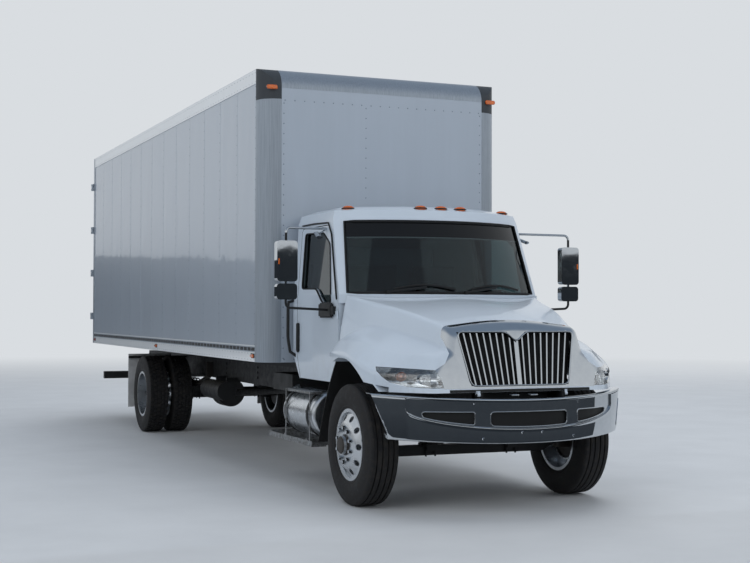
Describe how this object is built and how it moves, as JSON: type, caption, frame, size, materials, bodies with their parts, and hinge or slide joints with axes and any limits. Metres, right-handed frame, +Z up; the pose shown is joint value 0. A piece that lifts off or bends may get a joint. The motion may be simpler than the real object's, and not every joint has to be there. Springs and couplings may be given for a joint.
{
  "type": "box truck",
  "caption": "Conventional-cab box truck with a tilting hood, hinged cab doors, steered front wheels, dual rear wheels and a van body with swing doors.",
  "frame": {"origin": "on the ground, on the centre plane, half way between the bumper's face and the rear door hinges", "axes": "+Z up, the truck faces -Y, +X is its left side"},
  "size_m": [3.07, 11.56, 4.0099],
  "materials": {
    "chassis_steel": "satin black paint",
    "spring_steel": "dull black",
    "engine_iron": "cast",
    "radiator_core": "finned",
    "exhaust_steel": "dull",
    "polished_aluminium": "polished",
    "tread_aluminium": "serrated",
    "roof_aluminium": "mill finish",
    "black_plastic": "moulded",
    "grey_plastic": "moulded",
    "black_rubber": "moulded",
    "grey_rubber": "moulded",
    "cab_paint": "gloss white paint",
    "box_skin": "prepainted sheet",
    "casting_grey": "satin dark grey",
    "window_glass": "tinted",
    "seat_fabric": "woven",
    "amber_lens": "moulded lens",
    "lamp_lens": "clear moulded lens",
    "chrome": "bright plated",
    "cast_iron": "cast",
    "tyre": "rubber",
    "hardwood": "oiled boards"
  },
  "bodies": {
    "chassis": {"frame": "chassis_steel", "front_axle": "chassis_steel", "rear_axle": "chassis_steel", "leaf_springs": "spring_steel", "engine": "engine_iron", "driveline": "chassis_steel", "radiator": "radiator_core", "exhaust": "exhaust_steel", "fuel_tank": "polished_aluminium", "battery_box": "black_plastic", "air_tanks": "chassis_steel", "cab_steps": "tread_aluminium", "splash_panels": "black_rubber", "cab_shell": "cab_paint", "cab_glass": "window_glass", "dashboard": "grey_plastic", "seats": "seat_fabric", "roof_lamps": "amber_lens", "front_bumper": "chrome", "box_floor": "hardwood", "box_side_right": "box_skin", "box_side_left": "box_skin", "box_nose": "box_skin", "corner_castings": "casting_grey", "box_roof": "roof_aluminium", "box_rear_frame": "roof_aluminium", "rear_guard": "chassis_steel", "mud_flaps": "grey_rubber"},
    "hood": {"hood_shell": "cab_paint", "grille": "chrome", "headlamps": "lamp_lens"},
    "cab_door_right": {"cab_door_right": "cab_paint", "door_glass_right": "window_glass", "mirror_right": "chrome"},
    "cab_door_left": {"cab_door_left": "cab_paint", "door_glass_left": "window_glass", "mirror_left": "chrome"},
    "steering_wheel": {"steering_wheel": "black_plastic"},
    "knuckle_right": {"knuckle_right": "cast_iron"},
    "knuckle_left": {"knuckle_left": "cast_iron"},
    "front_wheel_right": {"front_rim_right": "polished_aluminium", "front_tyre_right": "tyre"},
    "front_wheel_left": {"front_rim_left": "polished_aluminium", "front_tyre_left": "tyre"},
    "rear_wheels_right": {"rear_rims_right": "polished_aluminium", "rear_tyres_right": "tyre"},
    "rear_wheels_left": {"rear_rims_left": "polished_aluminium", "rear_tyres_left": "tyre"},
    "rear_door_right": {"rear_door_right": "box_skin"},
    "rear_door_left": {"rear_door_left": "box_skin"}
  },
  "joints": [
    {"name": "hood_tilt", "type": "hinge", "parent": "chassis", "child": "hood", "pos_m": [0, -5.61, 0.965], "axis": [1, 0, 0], "range_deg": [0, 55]},
    {"name": "cab_door_right_swing", "type": "hinge", "parent": "chassis", "child": "cab_door_right", "pos_m": [-1.009, -4.1, 1.2], "axis": [0, 0, 1], "range_deg": [0, 70]},
    {"name": "cab_door_left_swing", "type": "hinge", "parent": "chassis", "child": "cab_door_left", "pos_m": [1.009, -4.1, 1.2], "axis": [0, 0, -1], "range_deg": [0, 70]},
    {"name": "steer_right", "type": "hinge", "parent": "chassis", "child": "knuckle_right", "pos_m": [-0.9, -4.65, 0.51], "axis": [0, 0, 1], "range_deg": [-36, 36]},
    {"name": "steer_left", "type": "hinge", "parent": "chassis", "child": "knuckle_left", "pos_m": [0.9, -4.65, 0.51], "axis": [0, 0, 1], "range_deg": [-36, 36]},
    {"name": "steering_wheel_turn", "type": "hinge", "parent": "chassis", "child": "steering_wheel", "pos_m": [0.45, -3.72, 1.56], "axis": [0, 0.7809, 0.6247], "range_deg": [-650, 650]},
    {"name": "front_wheel_right_spin", "type": "hinge", "parent": "knuckle_right", "child": "front_wheel_right", "pos_m": [-1, -4.65, 0.51], "axis": [1, 0, 0], "continuous": true},
    {"name": "front_wheel_left_spin", "type": "hinge", "parent": "knuckle_left", "child": "front_wheel_left", "pos_m": [1, -4.65, 0.51], "axis": [1, 0, 0], "continuous": true},
    {"name": "rear_wheels_right_spin", "type": "hinge", "parent": "chassis", "child": "rear_wheels_right", "pos_m": [-0.915, 2.7, 0.51], "axis": [1, 0, 0], "continuous": true},
    {"name": "rear_wheels_left_spin", "type": "hinge", "parent": "chassis", "child": "rear_wheels_left", "pos_m": [0.915, 2.7, 0.51], "axis": [1, 0, 0], "continuous": true},
    {"name": "rear_door_right_swing", "type": "hinge", "parent": "chassis", "child": "rear_door_right", "pos_m": [-1.318, 5.767, 2.5], "axis": [0, 0, 1], "range_deg": [0, 270]},
    {"name": "rear_door_left_swing", "type": "hinge", "parent": "chassis", "child": "rear_door_left", "pos_m": [1.318, 5.767, 2.5], "axis": [0, 0, -1], "range_deg": [0, 270]}
  ],
  "couplings": [
    {"joint": "steer_left", "follows": "steer_right", "ratio": 1},
    {"joint": "steering_wheel_turn", "follows": "steer_right", "ratio": 18}
  ]
}
